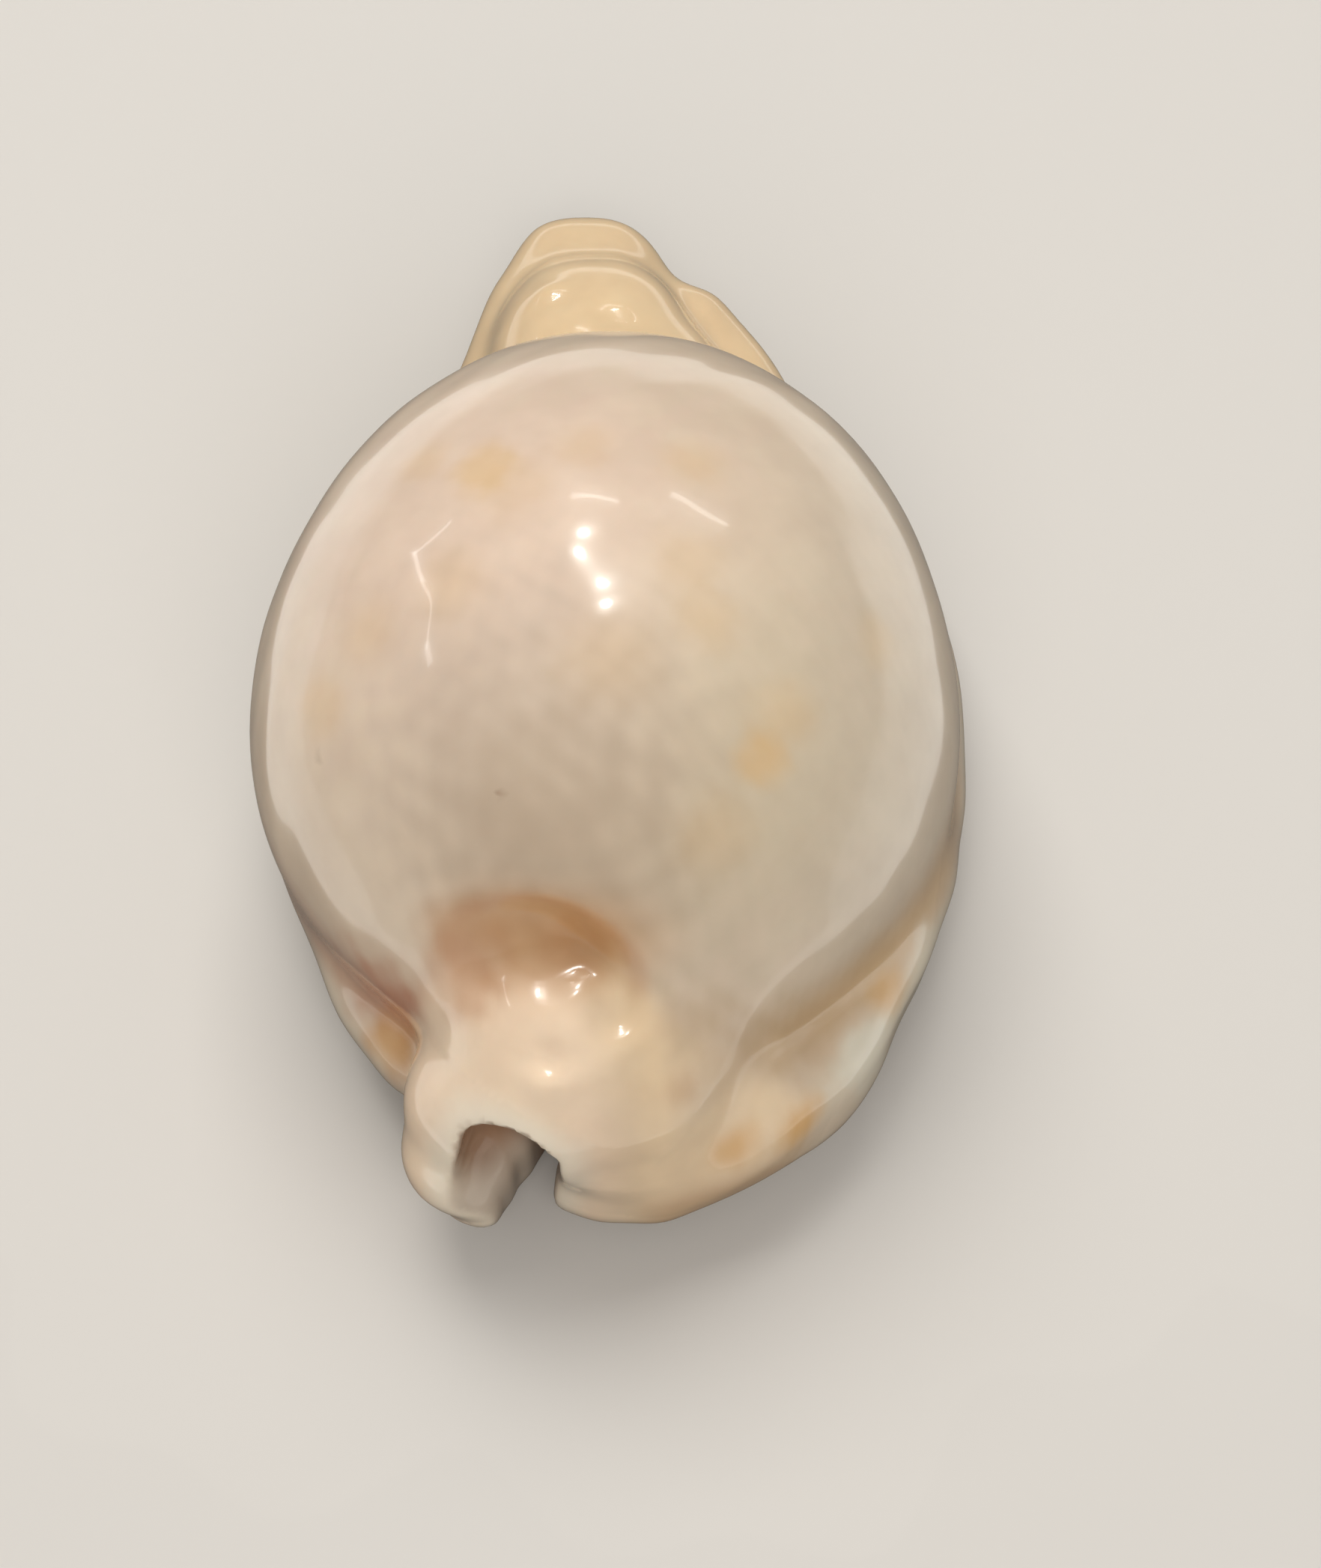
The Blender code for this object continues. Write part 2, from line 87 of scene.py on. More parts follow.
# ---------------------------------------------------------------- mathematics of the forms
class Curve:
    """Smooth cubic curve through knots; closed on itself when it has a period."""

    def __init__(self, t, v, period=None):
        t, v, self.period = np.asarray(t, float), np.asarray(v, float), period
        if period:
            t = np.concatenate([t[-3:] - period, t, t[:3] + period])
            v = np.concatenate([v[-3:], v, v[:3]])
        n, h = len(t), np.diff(t)
        a, b = np.zeros((n, n)), np.zeros(n)
        a[0, 0] = a[-1, -1] = 1
        for i in range(1, n - 1):
            a[i, i - 1], a[i, i], a[i, i + 1] = h[i - 1], 2 * (h[i - 1] + h[i]), h[i]
            b[i] = 6 * ((v[i + 1] - v[i]) / h[i] - (v[i] - v[i - 1]) / h[i - 1])
        self.m, self.t, self.v, self.h = np.linalg.solve(a, b), t, v, h

    def __call__(self, x):
        x = np.asarray(x, float)
        x = np.mod(x, self.period) if self.period else np.clip(x, self.t[0], self.t[-1])
        i = np.clip(np.searchsorted(self.t, x, side="right") - 1, 0, len(self.h) - 1)
        h = self.h[i]
        a = (self.t[i + 1] - x) / h
        b = 1 - a
        return (a * self.v[i] + b * self.v[i + 1]
                + ((a**3 - a) * self.m[i] + (b**3 - b) * self.m[i + 1]) * h * h / 6)

    def slope(self, x, e=1e-2):
        return (self(x + e) - self(x - e)) / (2 * e)


def mix(a, b, t):
    return a + (b - a) * t


def ease(a, b, x):
    t = np.clip((x - a) / (b - a), 0, 1)
    return t * t * t * (t * (6 * t - 15) + 10)


def join(a, b, k):
    """Two forms grown together, with a fillet about k wide between them."""
    h = np.maximum(k - np.abs(a - b), 0) / k
    return np.minimum(a, b) - h * h * h * k / 6


def within(a, b, k):
    """Only what two forms have in common, with a rounded edge about k wide."""
    return -join(-a, -b, k)


def carve(a, b, k):
    """The first form with the second one hollowed out of it, with a soft rim about k wide."""
    return -join(-a, b, k)


def tube(x, y, z, stations):
    """Distance to a swelling tube through (x, y, z, radius) stations."""
    d = None
    for p, q in zip(stations[:-1], stations[1:]):
        ax = np.array(q[:3], float) - np.array(p[:3], float)
        t = ((x - p[0]) * ax[0] + (y - p[1]) * ax[1] + (z - p[2]) * ax[2]) / (ax @ ax)
        t = np.clip(t, 0, 1)
        one = np.sqrt((x - p[0] - t * ax[0]) ** 2 + (y - p[1] - t * ax[1]) ** 2
                      + (z - p[2] - t * ax[2]) ** 2) - mix(p[3], q[3], t)
        d = one if d is None else join(d, one, 1.2)
    return d


def swelling(x, y, z, centre, half, power=2.0):
    """Distance to an ellipsoid, or to a squarer one when the power is over 2."""
    u = [np.abs(v - c) / s + 1e-9 for v, c, s in zip((x, y, z), centre, half)]
    f = sum(v**power for v in u) ** (1 / power)
    g = np.sqrt(sum((v ** (power - 1) / s) ** 2 for v, s in zip(u, half))) / np.maximum(f, 1e-3) ** (power - 1)
    return (f - 1) / np.maximum(g, 0.6 / max(half))


aperture_x = Curve(APERTURE_Y, APERTURE_X)
aperture_width = Curve(WIDTH_Y, WIDTH)
_angle = np.mod([np.arctan2(p[1], p[0]) for p in MARGIN], 2 * np.pi)
_order = np.argsort(_angle)
margin_radius = Curve(_angle[_order], np.hypot(*np.array(MARGIN).T)[_order], 2 * np.pi)


def whorl(x, y, z, inset=0.0):
    """The inflated body whorl: an egg with its own reach to each side of its widest level."""
    dy = y - WHORL_CENTRE[1]
    t = 0.5 * (1 + np.tanh(dy / 12))
    v = dy * ((1 - t) / (WHORL_BACK - inset) + t / (WHORL_FRONT - inset))
    half = WHORL_HALF_WIDTH * (1 + 0.012 * ease(2, 22, dy) - 0.03 * ease(2, 26, -dy)) - inset
    dz = z - WHORL_CENTRE[2]
    t = 0.5 * (1 + np.tanh(dz / 8))
    w = dz * ((1 - t) / (WHORL_DOWN - inset) + t / (WHORL_UP - inset))
    # the flanks come down steeply on to the margin, less so at the posterior
    w = w * mix(1, np.minimum(np.abs(w), 1.0) ** 0.5 + 0.0, ease(0.0, 0.7, -w) * 0.8 * ease(-24, -8, y))
    u = (x - WHORL_CENTRE[0] - WHORL_LEAN * ease(0, 22, dy)) / half
    f = np.sqrt(u * u + v * v + w * w)
    g = np.sqrt((u / half) ** 2 + (v * v / np.maximum(dy * dy, 1e-6)) * v * v
                + (w / np.where(dz > 0, WHORL_UP, WHORL_DOWN)) ** 2) / np.maximum(f, 1e-3)
    return (f - 1) / np.maximum(g, 1 / 34)


def roof(y):
    """Height of the aperture inside: into the chamber, then lower in the canal under the beak."""
    return mix(FLOOR + 0.7, 4.6, ease(18, 33, y))


def belly(x, y):
    """The rounding of the underside across the shell and along it."""
    return -0.35 + 0.0064 * (x - 0.5) ** 2 + 0.0011 * (y + 2) ** 2


def under(x, y):
    """Height of the underside: rounded, lowest on both sides of the aperture, its lips rolled in."""
    lip = (x - aperture_x(y)) / 2.1
    return belly(x, y) + 1.1 * np.exp(-lip * lip)


def margin(x, y, z):
    """The thick callus round the base: a plate with a rounded edge."""
    angle, r = np.mod(np.arctan2(y, x), 2 * np.pi), np.hypot(x, y)
    edge = (r - margin_radius(angle)) / np.sqrt(1 + (margin_radius.slope(angle) / margin_radius(angle)) ** 2)
    back = ease(-14, -26, y)
    h = MARGIN_HEIGHT / 2 + 1.1 * ease(-8, -20, y) * ease(4, 13, x)
    a = edge + MARGIN_ROUND
    b = np.abs(z - np.minimum(belly(x, y), 3.0) - 0.65 * back - h) - (h - MARGIN_ROUND)
    return np.hypot(np.maximum(a, 0), np.maximum(b, 0)) + np.minimum(np.maximum(a, b), 0) - MARGIN_ROUND


def outside(x, y, z):
    """The whole outer form: below 0 inside the shell material or its hollow."""
    d = whorl(x, y, z)
    # the sunken spire at the posterior
    d = carve(d, swelling(x, y, z, (-4.6, -32.4, 25.6), (5.8, 5.8, 7.4)), 5.0)
    d = join(d, swelling(x, y, z, (-5.4, -26.0, 23.6), (3.6, 2.2, 3.6)), 2.6)
    d = join(d, margin(x, y, z), 9.5 - mix(2.8, 1.0, ease(-4, 6, x)) * ease(-14, -26, y))
    # the beak over the anterior canal, and its tip
    tip = swelling(x, y, z, (-1.6, 33.5, 5.0), (6.4, 8.2, 5.4), 2.2)
    d = join(d, tip, 2.5)
    hump = join(swelling(x, y, z, (-1.0, 21.2, 7.0), (8.3, 14.4, 9.3), 2.5), swelling(x, y, z, (3.5, 17.6, 6.6), (6.4, 12.0, 8.8), 2.6), 3.0)
    d = join(d, hump, mix(9.0, 4.0, ease(17, 27, y)))
    # the posterior spout: a bridge from the spire, its left and right lobes, and the run into the right margin
    bridge = tube(x, y, z, [(-3.2, -25.0, 15.0, 6.6), (-3.2, -30.6, 17.6, 6.9), (-4.4, -33.2, 15.4, 6.0), (-5.3, -34.4, 14.1, 5.0)])
    left = tube(x, y, z, [(-5.4, -28.5, 13.8, 4.4), (-8.4, -33.2, 12.0, 4.7), (-9.2, -35.2, 8.4, 4.3), (-8.2, -35.5, 4.9, 3.8)])
    right = tube(x, y, z, [(0.4, -26.5, 14.6, 6.4), (1.1, -32.2, 14.8, 5.4), (0.9, -33.7, 10.0, 5.0), (0.5, -34.3, 5.4, 4.4)])
    run = tube(x, y, z, [(2.8, -30.4, 12.2, 5.7), (6.8, -30.8, 9.0, 5.0), (11.8, -28.8, 5.8, 4.2)])
    spout = join(bridge, join(left, join(right, run, 6.0), 4.0), 6.0)
    d = join(d, spout, mix(4.0, 8.5, ease(0, 5, x)))
    for px, py, pz, tx, ty, reach in LEVEL:
        near = np.exp(-((x - px) ** 2 + (y - py) ** 2 + (z - pz) ** 2) / reach**2)
        d = d - (tx * (x - px) + ty * (y - py)) * near
    return within(d, under(x, y) - z, 2.5)


def chamber(x, y, z, around=None):
    """The hollow of the body whorl, over a thick floor and clear of the spire and spout."""
    d = whorl(x, y, z, WALL)
    floor = FLOOR + 0.02 * np.maximum(0, x - aperture_x(y)) ** 1.5
    d = within(d, floor - z, 4.0)
    return within(d, (outside(x, y, z) if around is None else around) + WALL, 1.5)
def exhalant(x, y, z):
    """The posterior canal: a round gutter, open below through the end of the aperture."""
    gutter = join(tube(x, y, z, GUTTER), tube(x, y, z, MOUTH), 4.0)
    slot = tube(x, y, 0 * z, [(s[0], s[1], 0.0, s[2]) for s in SLOT])
    height = np.interp(-y, [-g[1] for g in GUTTER], [g[2] for g in GUTTER])
    slot = within(slot, z - height + 0.8, 1.5)
    return np.maximum(join(gutter, slot, 4.0), y + 27)


def slit(x, y, z):
    """The aperture, up into the chamber and out under the beak."""
    gap = np.abs(x - aperture_x(y)) - aperture_width(y) / 2
    gap = within(gap, z - roof(y), 1.2)
    return within(gap, -30 - y, 0.8)


def grooves(x, y, z):
    """The gaps between the teeth, across both lips."""
    edge = x - aperture_x(y) - aperture_width(y) / 2
    cell = np.mod(y, TOOTH_PITCH_LABRAL) - TOOTH_PITCH_LABRAL / 2
    fade = ease(-31, -26, y) * (1 - ease(32, 37, y))
    t = np.clip(edge + 1.0, 0, 3.6)
    a = np.sqrt((edge + 1.0 - t) ** 2 + cell**2 + (z - 0.75 + 0.22 * t) ** 2) - 0.62 * fade + (1 - fade)
    edge = aperture_x(y) - aperture_width(y) / 2 - x
    cell = np.mod(y, TOOTH_PITCH_COLUMELLAR) - TOOTH_PITCH_COLUMELLAR / 2
    fade = ease(-10, 3, y) * (1 - ease(32, 37, y))
    t = np.clip(edge + 0.9, 0, 3.0)
    b = np.sqrt((edge + 0.9 - t) ** 2 + cell**2 + (z - 0.75 + 0.22 * t) ** 2) - 0.5 * fade + (1 - fade)
    return np.minimum(a, b)


def solid(x, y, z):
    """The shell itself: below 0 in its material."""
    o = outside(x, y, z)
    d = carve(o, exhalant(x, y, z), 1.6)
    d = carve(d, slit(x, y, z), 1.0)
    d = carve(d, grooves(x, y, z), 0.5)
    d = carve(d, chamber(x, y, z, o), 1.0)
    return np.maximum(d, -z)
def ripple(x, y, z):
    """The slight unevenness of the enamel, which makes its reflections waver."""
    a = np.sin(0.46 * x + 0.9 * np.sin(0.21 * y + 0.5) + 0.17 * z) * np.sin(0.33 * y + 0.8 * np.sin(0.19 * x + 1.0) - 0.3 * z + 1.3)
    b = np.sin(0.93 * x + 0.37 * z + 1.2 * np.sin(0.31 * y)) * np.sin(0.71 * y - 0.5 * z + 0.8 * np.sin(0.4 * x) + 2.1)
    return 0.055 * a + 0.022 * b


def shell_form(x, y, z):
    return solid(x, y, z) + ripple(x, y, z) * ease(3, 8, z)


# ---------------------------------------------------------------- surface of a form
def spaced(lo, hi, pitch):
    """Grid lines from lo to hi whose spacing follows pitch(position)."""
    lines = [lo]
    while lines[-1] < hi:
        lines.append(lines[-1] + pitch(lines[-1]))
    return np.array(lines)


def slope_of(form, p, e=0.02):
    x, y, z = p.T
    return np.stack([form(x + e, y, z) - form(x - e, y, z), form(x, y + e, z) - form(x, y - e, z),
                     form(x, y, z + e) - form(x, y, z - e)], 1) / (2 * e)


def surface(form, xs, ys, zs, steps=3):
    """Points, four-cornered faces and normals of the surface where the form is 0: one point in each cell it passes through."""
    f = np.empty((len(xs), len(ys), len(zs)))
    yy, zz = np.meshgrid(ys, zs, indexing="ij")
    for i, x in enumerate(xs):
        f[i] = form(np.full_like(yy, x), yy, zz)
    shape = (len(xs) - 1, len(ys) - 1, len(zs) - 1)
    total, count = np.zeros(shape + (3,)), np.zeros(shape)
    crossings = []
    lines = (xs, ys, zs)
    for axis in range(3):
        a = f.take(range(f.shape[axis] - 1), axis)
        b = f.take(range(1, f.shape[axis]), axis)
        index = np.argwhere((a < 0) != (b < 0))
        t = a[tuple(index.T)] / (a[tuple(index.T)] - b[tuple(index.T)])
        p = np.stack([lines[k][index[:, k]] for k in range(3)], 1)
        p[:, axis] += t * (lines[axis][index[:, axis] + 1] - lines[axis][index[:, axis]])
        crossings.append((index, a[tuple(index.T)] < 0))
        others = [k for k in range(3) if k != axis]
        for du in (0, -1):
            for dv in (0, -1):
                cell = index.copy()
                cell[:, others[0]] += du
                cell[:, others[1]] += dv
                ok = ((cell >= 0) & (cell < shape)).all(1)
                c = tuple(cell[ok].T)
                np.add.at(total, c, p[ok])
                np.add.at(count, c, 1)
    number = np.full(shape, -1)
    used = count > 0
    number[used] = np.arange(used.sum())
    points = total[used] / count[used][:, None]
    quads = []
    for axis, (index, rising) in enumerate(crossings):
        u, v = [(1, 2), (2, 0), (0, 1)][axis]
        corners = []
        inside = np.ones(len(index), bool)
        for du, dv in ((0, 0), (-1, 0), (-1, -1), (0, -1)):
            cell = index.copy()
            cell[:, u] += du
            cell[:, v] += dv
            inside &= ((cell >= 0) & (cell < shape)).all(1)
            corners.append(cell)
        q = np.stack([number[tuple(np.clip(c, 0, np.array(shape) - 1).T)] for c in corners], 1)
        q[~rising] = q[~rising][:, ::-1]
        quads.append(q[inside])
    quads = np.concatenate(quads)
    for _ in range(steps):
        g = slope_of(form, points)
        g /= np.maximum((g * g).sum(1), 0.05)[:, None]
        move = -form(*points.T)[:, None] * g
        far = np.linalg.norm(move, axis=1, keepdims=True)
        points += move * np.minimum(1, 0.25 / np.maximum(far, 1e-9))
    normals = slope_of(form, points)
    normals /= np.maximum(np.linalg.norm(normals, axis=1), 1e-9)[:, None]
    return points, quads, normals


# ---------------------------------------------------------------- the fine shell
size = 1.0
points, quads, normals = surface(
    shell_form,
    spaced(-27.5, 28.5, lambda v: size * (0.36 if -4.2 < v < 3.2 else 0.48 if -13 < v < 5 else 0.72)),
    spaced(-43.5, 44.5, lambda v: size * 0.40),
    spaced(-0.8, 41.5, lambda v: size * (0.34 if v < 3.2 else 0.48 if v < 17 else 0.70)),
)


def mesh_of(name, points, faces):
    mesh = bpy.data.meshes.new(name)
    mesh.from_pydata(points.tolist(), [], faces.tolist())
    mesh.update()
    return mesh


mesh = mesh_of("cowrie_shell", points, quads)
shell = bpy.data.objects.new("cowrie_shell", mesh)
bpy.context.scene.collection.objects.link(shell)

# the smooth wall of the chamber, which only shows through the aperture, needs fewer faces
inner = np.abs(chamber(*points.T)) < 0.3
inner &= points[:, 2] > 9
group = shell.vertex_groups.new(name="chamber_wall")
group.add(np.flatnonzero(inner).tolist(), 1.0, "REPLACE")
fewer = shell.modifiers.new("fewer", "DECIMATE")
fewer.vertex_group = "chamber_wall"
fewer.ratio = 1 - 0.85 * inner.mean()
bpy.context.view_layer.update()
fine = bpy.data.meshes.new_from_object(shell.evaluated_get(bpy.context.evaluated_depsgraph_get()))
shell.modifiers.clear()
shell.vertex_groups.clear()
shell.data = fine
bpy.data.meshes.remove(mesh)
mesh = fine
mesh.name = "cowrie_shell"

P = np.empty(len(mesh.vertices) * 3)
mesh.vertices.foreach_get("co", P)
P = P.reshape(-1, 3)
N = slope_of(shell_form, P)
N /= np.maximum(np.linalg.norm(N, axis=1), 1e-9)[:, None]


# ---------------------------------------------------------------- colours of the enamel, by zone
def colour(r, g, b):
    """A linear colour from the tone it has on a screen, 0 to 255."""
    return np.array([((c / 255 + 0.055) / 1.055) ** 2.4 if c > 10 else c / 3295 for c in (r, g, b)])


def paint(base, mask, tone):
    mask = np.clip(mask, 0, 1)[:, None]
    return base * (1 - mask) + np.asarray(tone) * mask


def spot(centre, radius, soft=0.6, stretch=(1, 1, 1)):
    """A soft round patch about a point of the surface."""
    d = np.linalg.norm((P - centre) * stretch, axis=1) + 0.2 * radius * wobble
    return 1 - ease(radius * (1 - soft), radius * (1 + soft), d)


x, y, z = P.T
wobble = (np.sin(1.3 * x + 2.1 * np.sin(0.6 * y)) * np.sin(1.1 * y + 1.7 * np.sin(0.5 * x + 0.4 * z) + 0.7 * z)
          + 0.5 * np.sin(2.9 * x + 1.3 * y) * np.sin(2.6 * y - 1.9 * z + 0.4))
on_dome = whorl(x, y, z)
on_rim = margin(x, y, z)

tint = np.tile(colour(224, 206, 184), (len(P), 1))                      # the back
tint = paint(tint, 0.75 * spot((-8, -4, 38), 14, 0.8), colour(236, 212, 194))      # pinker to the left
tint = paint(tint, 0.6 * spot((12, -20, 33), 12, 0.9), colour(212, 200, 174))
tint = paint(tint, 0.6 * ease(8, 20, x) * ease(10, 20, z), colour(222, 210, 192))      # greener low on the right
tint = paint(tint, 0.6 * spot((-6, -19, 36), 9, 0.9), colour(204, 188, 172))
tint = paint(tint, 0.6 * spot((-3.0, -24.0, 33.0), 7.5, 0.9), colour(190, 170, 146))       # painted shade, greyer, low in the middle of the back
for centre, radius, depth in [
    ((-8.0, -0.4, 37.7), 2.0, 0.55), ((-11.9, 1.7, 35.2), 1.6, 0.4), ((5.5, -0.3, 38.4), 1.8, 0.45),
    ((-1.5, 0.7, 38.8), 1.7, 0.35), ((-9.8, -9.0, 38.0), 2.1, 0.35), ((-18.2, -13.9, 31.1), 1.8, 0.45),
    ((-15.1, -10.6, 34.8), 1.8, 0.35), ((5.1, -8.1, 39.4), 2.0, 0.35), ((6.3, -12.0, 38.8), 1.8, 0.4),
    ((17.3, -10.1, 32.6), 1.6, 0.35), ((0.0, -14.9, 39.1), 2.6, 0.3), ((11.0, -17.1, 35.5), 2.0, 0.45),
    ((9.7, -19.8, 34.8), 1.6, 0.62), ((6.8, -24.0, 33.0), 2.2, 0.35), ((-6.0, -2.5, 38.9), 2.2, 0.3),
]:
    tint = paint(tint, (0.7 + 0.3 * (depth > 0.5)) * depth * spot(centre, radius, 0.95 if depth < 0.5 else 0.7), colour(226, 190, 136))

beak = ease(0.2, 1.6, on_dome) * ease(8, 14, y)
tint = paint(tint, beak, colour(240, 213, 173))
# the flat of the margin, white with warm stretches
edge = (1 - ease(0.3, 2.2, on_rim)) * ease(0.8, 2.6, on_dome) * (1 - ease(-6, 6, y))
tint = paint(tint, edge * (1 - ease(10.5, 13.5, z)), colour(232, 222, 202))
# painted shade in the valley between the dome and the margin, brown, paler and wider on the right
crease_shade = np.exp(-(np.maximum(on_dome, 0) / 2.2) ** 2) * (1 - ease(13, 21, z)) * ease(4, 14, -y)
tint = paint(tint, 0.55 * crease_shade * ease(6, 10, -x) * ease(11, 16, -y), colour(180, 122, 92))
tint = paint(tint, 0.75 * crease_shade * ease(-1, 4, x), colour(204, 168, 118))
# painted shade, tan, along the valley between the spout and the right margin
for centre, radius in [((4.6, -31.6, 21.0), 3.0), ((8.6, -30.8, 16.6), 3.6), ((13.0, -28.4, 14.6), 3.4), ((17.2, -24.0, 14.6), 2.8)]:
    tint = paint(tint, 0.42 * spot(centre, radius, 0.9), colour(200, 168, 124))
# painted shade, reddish brown, low on the left flank beside the margin
left_flank_shade = spot((-13.2, -28.8, 14.2), 5.2, 0.95)
tint = paint(tint, 0.8 * left_flank_shade, colour(188, 116, 78))
# the spout: pinker to the left, yellower to the right
lobes = np.minimum.reduce([
    tube(x, y, z, [(-3.2, -25.0, 15.0, 6.6), (-3.2, -30.6, 17.6, 6.9), (-4.4, -33.2, 15.4, 6.0), (-5.3, -34.4, 14.1, 5.0)]),
    tube(x, y, z, [(-5.4, -28.5, 13.8, 4.4), (-8.4, -33.2, 12.0, 4.7), (-9.2, -35.2, 8.4, 4.3), (-8.2, -35.5, 4.9, 3.8)]),
    tube(x, y, z, [(0.4, -26.5, 14.6, 6.4), (1.1, -32.2, 14.8, 5.4), (0.9, -33.7, 10.0, 5.0), (0.5, -34.3, 5.4, 4.4)]),
])
spout = (1 - ease(0.9, 3.2, lobes)) * ease(27.2, 29.2, -y) * (1 - 0.6 * ease(2.5, 7, x) * ease(13, 17, z))
warmer = ease(-3.5, 3.5, x + 0.3 * (y + 34))
tint = paint(tint, spout * (1 - warmer), colour(247, 223, 196))
tint = paint(tint, spout * warmer, colour(242, 217, 181))
tint = paint(tint, 0.85 * ease(-1, 5, x) * (1 - ease(11, 16, x)) * ease(31.5, 34.0, -y) * (1 - ease(14.5, 17.5, z)), colour(248, 224, 190))
tint = paint(tint, 0.55 * spot((4.6, -35.3, 18.9), 1.2, 0.95), colour(200, 162, 122))
# painted shade, brown, on the low face of the right lobe and of the margin beside it
tint = paint(tint, 0.55 * ease(0.5, 5, x) * (1 - ease(8.5, 15.0, x + 1.2 * wobble)) * ease(31, 35, -y) * (1 - ease(6.5, 10.5, z)), colour(208, 168, 126))
# warm spots of the margin
for centre, radius, depth in [
    ((12.3, -33.7, 10.2), 1.6, 0.85), ((8.0, -35.9, 11.1), 1.6, 0.7), ((18.5, -25.4, 11.9), 1.5, 0.5),
    ((-14.5, -28.0, 9.4), 1.9, 0.65), ((22.6, -13.0, 7.5), 1.8, 0.4), ((24.3, -3.0, 5.5), 2.0, 0.4),
    ((-20.5, -14.0, 6.0), 2.0, 0.4), ((-21.6, -3.0, 5.0), 2.2, 0.4), ((-18.0, 14.0, 5.0), 2.2, 0.3),
    ((20.0, 16.0, 4.5), 2.2, 0.3),
]:
    tint = paint(tint, depth * spot(centre, radius, 0.95), colour(226, 176, 104))
tint = paint(tint, 0.85 * spot((16.9, -29.0, 10.2), 2.6, 0.5), colour(236, 232, 216))
tint = paint(tint, 0.6 * spot((21.2, -21.4, 10.6), 2.4, 0.6), colour(236, 232, 216))
# the sunken spire: warm tan, partly its own colour and partly painted shade in the hollow, with a crescent of painted
# shade under the edge of the last whorl
pit = np.linalg.norm((P - (-3.4, -27.6, 27.0)) / (7.6, 4.2, 4.4), axis=1)
tint = paint(tint, 0.82 * (1 - ease(0.30, 1.40, pit)), colour(202, 156, 106))
arc = np.abs(np.linalg.norm((P - (-4.2, -29.4, 24.6))[:, [0, 2]] / (1.25, 1.0), axis=1) - 5.0)
tint = paint(tint, 0.35 * (1 - ease(0.0, 1.1, arc)) * (1 - ease(1.0, 1.5, pit)), colour(186, 134, 92))
tint = paint(tint, 0.45 * spot((-1.6, -27.7, 25.9), 2.4, 0.95), colour(200, 146, 94))
tint = paint(tint, 0.5 * spot((-8.6, -27.8, 25.4), 2.8, 0.9), colour(196, 144, 94))
tint = paint(tint, 0.45 * spot((-9.4, -29.0, 22.8), 2.6, 0.9), colour(204, 148, 106))
# white lips of the exhalant canal, and its inside: dark brown painted shade under its roof, a paler tone low down
canal = exhalant(x, y, z)
tint = paint(tint, 0.9 * (1 - ease(0.3, 3.4, canal)) * ease(29, 33, -y) * (x < 1.5), colour(246, 236, 218))
tint = paint(tint, 0.9 * (1 - ease(0.0, 0.5, canal)) * (1 - ease(36.0, 40.0, -y)) * ease(26, 29, -y), colour(154, 112, 80))
tint = paint(tint, (1 - ease(0.0, 0.6, canal)) * ease(33, 35, -y) * (1 - ease(7.5, 11.5, z)), colour(204, 190, 174))
# tiny dark marks
for centre in [(-6.6, -22.0, 34.8), (-18.5, -16.7, 29.3)]:
    tint = paint(tint, 0.5 * (1 - ease(0.12, 0.4, np.linalg.norm(P - centre, axis=1))), colour(150, 120, 96))
# base, aperture and chamber
below = ease(0.3, 0.85, -N[:, 2]) * (1 - ease(5, 9, z))
tint = paint(tint, below, colour(242, 228, 206))
inside = (np.abs(chamber(x, y, z)) < 0.35) & (z > 6)
tint = paint(tint, 1.0 * inside, colour(214, 196, 196))
tint *= (1 + 0.012 * wobble)[:, None]

attribute = mesh.color_attributes.new("tint", "FLOAT_COLOR", "POINT")
attribute.data.foreach_set("color", np.column_stack([np.clip(tint, 0, 1), np.ones(len(P))]).ravel())

mesh.vertices.foreach_set("co", ((P - (MIDDLE[0], MIDDLE[1], 0)) * MM).ravel())
for polygon in mesh.polygons:
    polygon.use_smooth = True
mesh.normals_split_custom_set_from_vertices(N.tolist())
mesh.update()


# ---------------------------------------------------------------- enamel
enamel = bpy.data.materials.new("porcelain_enamel")
enamel.use_nodes = True
nodes, links = enamel.node_tree.nodes, enamel.node_tree.links
shader = nodes["Principled BSDF"]
shader.inputs["Roughness"].default_value = 0.16
shader.inputs["IOR"].default_value = 1.53
shader.inputs["Coat Weight"].default_value = 0.35
shader.inputs["Coat Roughness"].default_value = 0.03
shader.inputs["Subsurface Weight"].default_value = 0.12
shader.inputs["Subsurface Radius"].default_value = (1.0, 0.6, 0.4)
shader.inputs["Subsurface Scale"].default_value = 0.0015


def node(kind, **values):
    new = nodes.new(kind)
    for name, value in values.items():
        if name in new.inputs:
            new.inputs[name].default_value = value
        else:
            setattr(new, name, value)
    return new


where = node("ShaderNodeTexCoord")
base = node("ShaderNodeAttribute", attribute_name="tint")
cloud = node("ShaderNodeTexNoise", Scale=170.0, Detail=3.0, Roughness=0.55)
links.new(where.outputs["Object"], cloud.inputs["Vector"])
warm = node("ShaderNodeMix", data_type="RGBA", blend_type="MULTIPLY")
warm.inputs["Factor"].default_value = 1.0
ramp = node("ShaderNodeValToRGB")
ramp.color_ramp.elements[0].position, ramp.color_ramp.elements[0].color = 0.36, (0.95, 0.925, 0.90, 1)
ramp.color_ramp.elements[1].position, ramp.color_ramp.elements[1].color = 0.66, (1.03, 1.02, 1.0, 1)
links.new(cloud.outputs["Fac"], ramp.inputs["Fac"])
links.new(base.outputs["Color"], warm.inputs["A"])
links.new(ramp.outputs["Color"], warm.inputs["B"])
links.new(warm.outputs["Result"], shader.inputs["Base Color"])
shell.data.materials.clear()
shell.data.materials.append(enamel)

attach(shell, "root")
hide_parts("shell")


